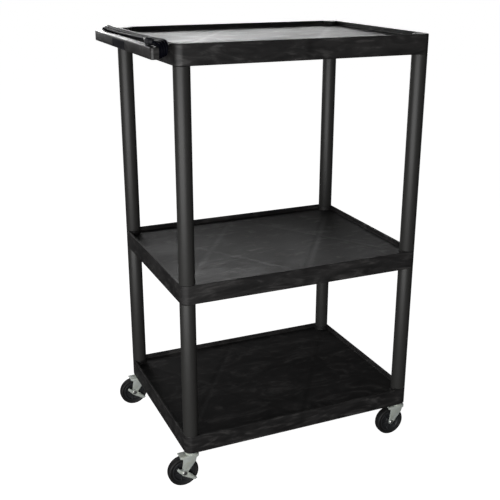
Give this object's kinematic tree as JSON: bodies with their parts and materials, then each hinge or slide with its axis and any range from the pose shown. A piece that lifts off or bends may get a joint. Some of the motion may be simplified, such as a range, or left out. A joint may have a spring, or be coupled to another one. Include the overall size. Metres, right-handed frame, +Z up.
{
  "type": "utility cart",
  "caption": "Tall rolling utility cart: moulded tray shelves on tube legs, swivel casters with brake levers, a push handle and a mains cord wound on its arms.",
  "frame": {"origin": "on the floor, under the middle of the cart with its handle", "axes": "+Z up; +X along the long side, from the handle end to the far end; +Y towards the back, so the long front side faces -Y"},
  "size_m": [0.8804, 0.611, 1.3862],
  "materials": {
    "black_plastic": "mottled structural-foam moulding, satin",
    "leg_plastic": "satin extruded tube",
    "label_plastic": "smooth blank plate",
    "outlet_plastic": "moulded, fine grain",
    "cord_rubber": "smooth flexible cord jacket",
    "zinc_plate": "pressed steel, bright zinc plate",
    "bright_steel": "plated steel",
    "wheel_rubber": "smooth rubber tread",
    "hub_plastic": "moulded hub"
  },
  "bodies": {
    "cart": {"top_shelf": "black_plastic", "middle_shelf": "black_plastic", "bottom_shelf": "black_plastic", "lower_leg_front_left": "leg_plastic", "lower_leg_front_right": "leg_plastic", "lower_leg_rear_left": "leg_plastic", "lower_leg_rear_right": "leg_plastic", "upper_leg_front_left": "leg_plastic", "upper_leg_front_right": "leg_plastic", "upper_leg_rear_left": "leg_plastic", "upper_leg_rear_right": "leg_plastic", "handle_label": "label_plastic", "outlet_box": "outlet_plastic", "outlet_plate": "outlet_plastic", "outlet_receptacle_1": "outlet_plastic", "outlet_receptacle_2": "outlet_plastic", "outlet_receptacle_3": "outlet_plastic", "outlet_plate_screw": "bright_steel", "cord_strain_relief": "cord_rubber", "cord_lead": "cord_rubber", "cord_hank": "cord_rubber", "cord_tail": "cord_rubber", "power_plug": "cord_rubber", "plug_blade_left": "bright_steel", "plug_blade_right": "bright_steel", "plug_earth_pin": "bright_steel", "caster_front_left_stem": "bright_steel", "caster_front_right_stem": "bright_steel", "caster_rear_left_stem": "bright_steel", "caster_rear_right_stem": "bright_steel"},
    "caster_front_left": {"caster_front_left_swivel_race": "zinc_plate", "caster_front_left_fork": "zinc_plate", "caster_front_left_axle_bushing": "bright_steel", "caster_front_left_axle_bolt": "bright_steel", "caster_front_left_axle_nut": "bright_steel"},
    "wheel_front_left": {"caster_front_left_tyre": "wheel_rubber", "caster_front_left_hub": "hub_plastic"},
    "brake_front_left": {"caster_front_left_brake_lever": "zinc_plate"},
    "caster_front_right": {"caster_front_right_swivel_race": "zinc_plate", "caster_front_right_fork": "zinc_plate", "caster_front_right_axle_bushing": "bright_steel", "caster_front_right_axle_bolt": "bright_steel", "caster_front_right_axle_nut": "bright_steel"},
    "wheel_front_right": {"caster_front_right_tyre": "wheel_rubber", "caster_front_right_hub": "hub_plastic"},
    "caster_rear_left": {"caster_rear_left_swivel_race": "zinc_plate", "caster_rear_left_fork": "zinc_plate", "caster_rear_left_axle_bushing": "bright_steel", "caster_rear_left_axle_bolt": "bright_steel", "caster_rear_left_axle_nut": "bright_steel"},
    "wheel_rear_left": {"caster_rear_left_tyre": "wheel_rubber", "caster_rear_left_hub": "hub_plastic"},
    "brake_rear_left": {"caster_rear_left_brake_lever": "zinc_plate"},
    "caster_rear_right": {"caster_rear_right_swivel_race": "zinc_plate", "caster_rear_right_fork": "zinc_plate", "caster_rear_right_axle_bushing": "bright_steel", "caster_rear_right_axle_bolt": "bright_steel", "caster_rear_right_axle_nut": "bright_steel"},
    "wheel_rear_right": {"caster_rear_right_tyre": "wheel_rubber", "caster_rear_right_hub": "hub_plastic"}
  },
  "joints": [
    {"name": "swivel_front_left", "type": "hinge", "parent": "cart", "child": "caster_front_left", "pos_m": [-0.3484, -0.2813, 0.11], "axis": [0, 0, 1], "continuous": true},
    {"name": "wheel_spin_front_left", "type": "hinge", "parent": "caster_front_left", "child": "wheel_front_left", "pos_m": [-0.3781, -0.2813, 0.05], "axis": [0, 1, 0], "continuous": true},
    {"name": "brake_release_front_left", "type": "hinge", "parent": "caster_front_left", "child": "brake_front_left", "pos_m": [-0.3781, -0.2999, 0.05], "axis": [0, -1, 0], "range_deg": [0, 45]},
    {"name": "swivel_front_right", "type": "hinge", "parent": "cart", "child": "caster_front_right", "pos_m": [0.416, -0.2813, 0.11], "axis": [0, 0, 1], "continuous": true},
    {"name": "wheel_spin_front_right", "type": "hinge", "parent": "caster_front_right", "child": "wheel_front_right", "pos_m": [0.3863, -0.2813, 0.05], "axis": [0, 1, 0], "continuous": true},
    {"name": "swivel_rear_left", "type": "hinge", "parent": "cart", "child": "caster_rear_left", "pos_m": [-0.3484, 0.2813, 0.11], "axis": [0, 0, 1], "continuous": true},
    {"name": "wheel_spin_rear_left", "type": "hinge", "parent": "caster_rear_left", "child": "wheel_rear_left", "pos_m": [-0.3781, 0.2813, 0.05], "axis": [0, 1, 0], "continuous": true},
    {"name": "brake_release_rear_left", "type": "hinge", "parent": "caster_rear_left", "child": "brake_rear_left", "pos_m": [-0.3781, 0.2627, 0.05], "axis": [0, -1, 0], "range_deg": [0, 45]},
    {"name": "swivel_rear_right", "type": "hinge", "parent": "cart", "child": "caster_rear_right", "pos_m": [0.416, 0.2813, 0.11], "axis": [0, 0, 1], "continuous": true},
    {"name": "wheel_spin_rear_right", "type": "hinge", "parent": "caster_rear_right", "child": "wheel_rear_right", "pos_m": [0.3863, 0.2813, 0.05], "axis": [0, 1, 0], "continuous": true}
  ]
}
